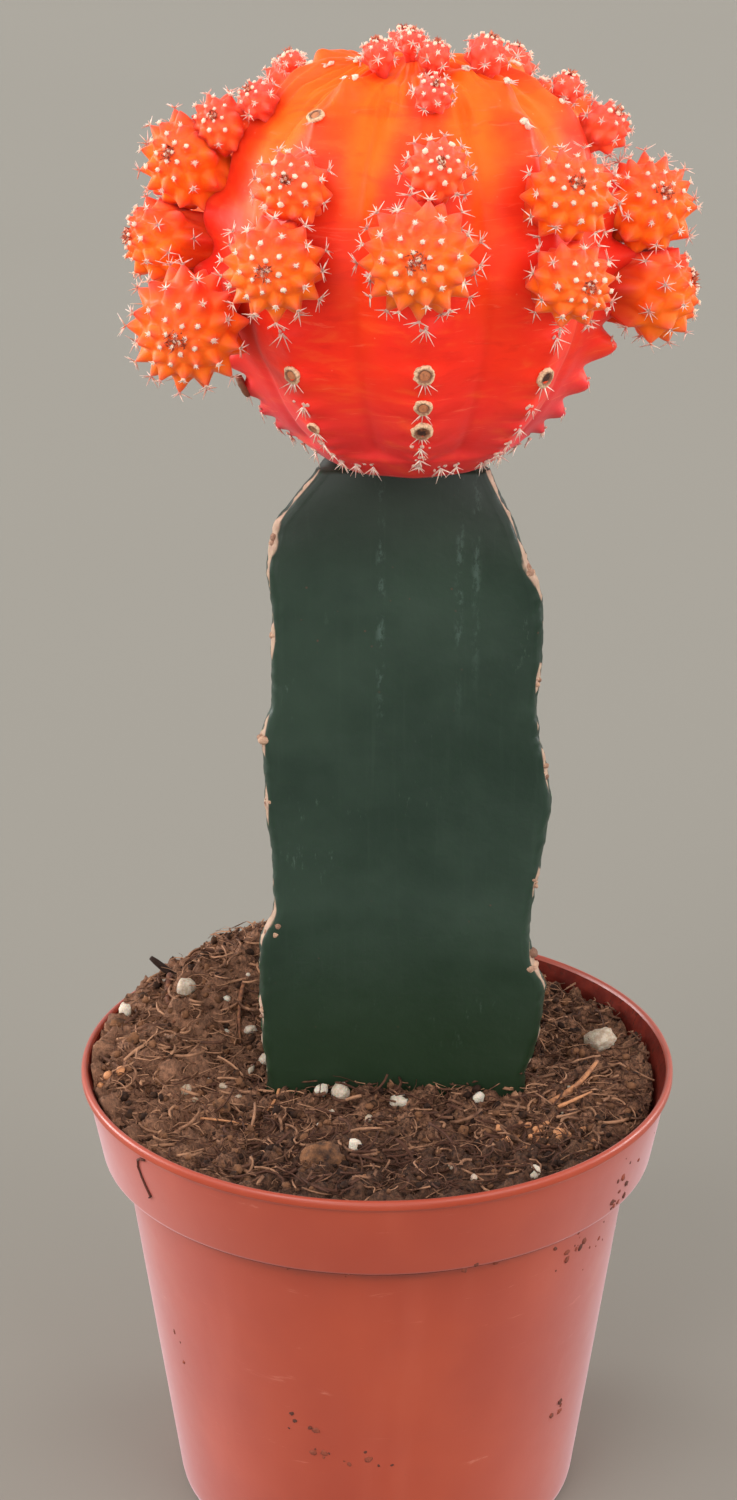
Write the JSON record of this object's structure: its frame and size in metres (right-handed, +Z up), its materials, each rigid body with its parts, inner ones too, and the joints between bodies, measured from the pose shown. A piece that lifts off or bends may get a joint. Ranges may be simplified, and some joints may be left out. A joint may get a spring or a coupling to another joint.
{
  "type": "potted moon cactus",
  "caption": "Grafted moon cactus: a ribbed orange-red globe with small offsets on a three-angled green rootstock, in a round terracotta-coloured plastic pot of soil.",
  "frame": {"origin": "middle of the pot's foot, on the surface it stands on", "axes": "+Z up along the pot's axis, -Y towards the viewer of the broad front face, +X to the viewer's right"},
  "size_m": [0.085, 0.0861, 0.2143],
  "materials": {
    "pot_plastic": "satin",
    "potting_mix": "rough, fibrous",
    "rootstock_skin": "waxy",
    "scion_skin": "waxy",
    "offset_skin": "waxy"
  },
  "bodies": {
    "root": {"pot": "pot_plastic", "soil": "potting_mix", "rootstock": "rootstock_skin", "scion": "scion_skin", "offset_01": "offset_skin", "offset_02": "offset_skin", "offset_03": "offset_skin", "offset_04": "offset_skin", "offset_05": "offset_skin", "offset_06": "offset_skin", "offset_07": "offset_skin", "offset_08": "offset_skin", "offset_09": "offset_skin", "offset_10": "offset_skin", "offset_11": "offset_skin", "offset_12": "offset_skin", "offset_13": "offset_skin", "offset_14": "offset_skin", "offset_15": "offset_skin", "offset_16": "offset_skin", "offset_17": "offset_skin", "offset_18": "offset_skin", "offset_19": "offset_skin", "offset_20": "offset_skin", "offset_21": "offset_skin", "offset_22": "offset_skin", "offset_23": "offset_skin", "offset_24": "offset_skin", "offset_25": "offset_skin", "offset_26": "offset_skin", "offset_27": "offset_skin", "offset_28": "offset_skin", "offset_29": "offset_skin", "offset_30": "offset_skin", "offset_31": "offset_skin"}
  },
  "joints": []
}
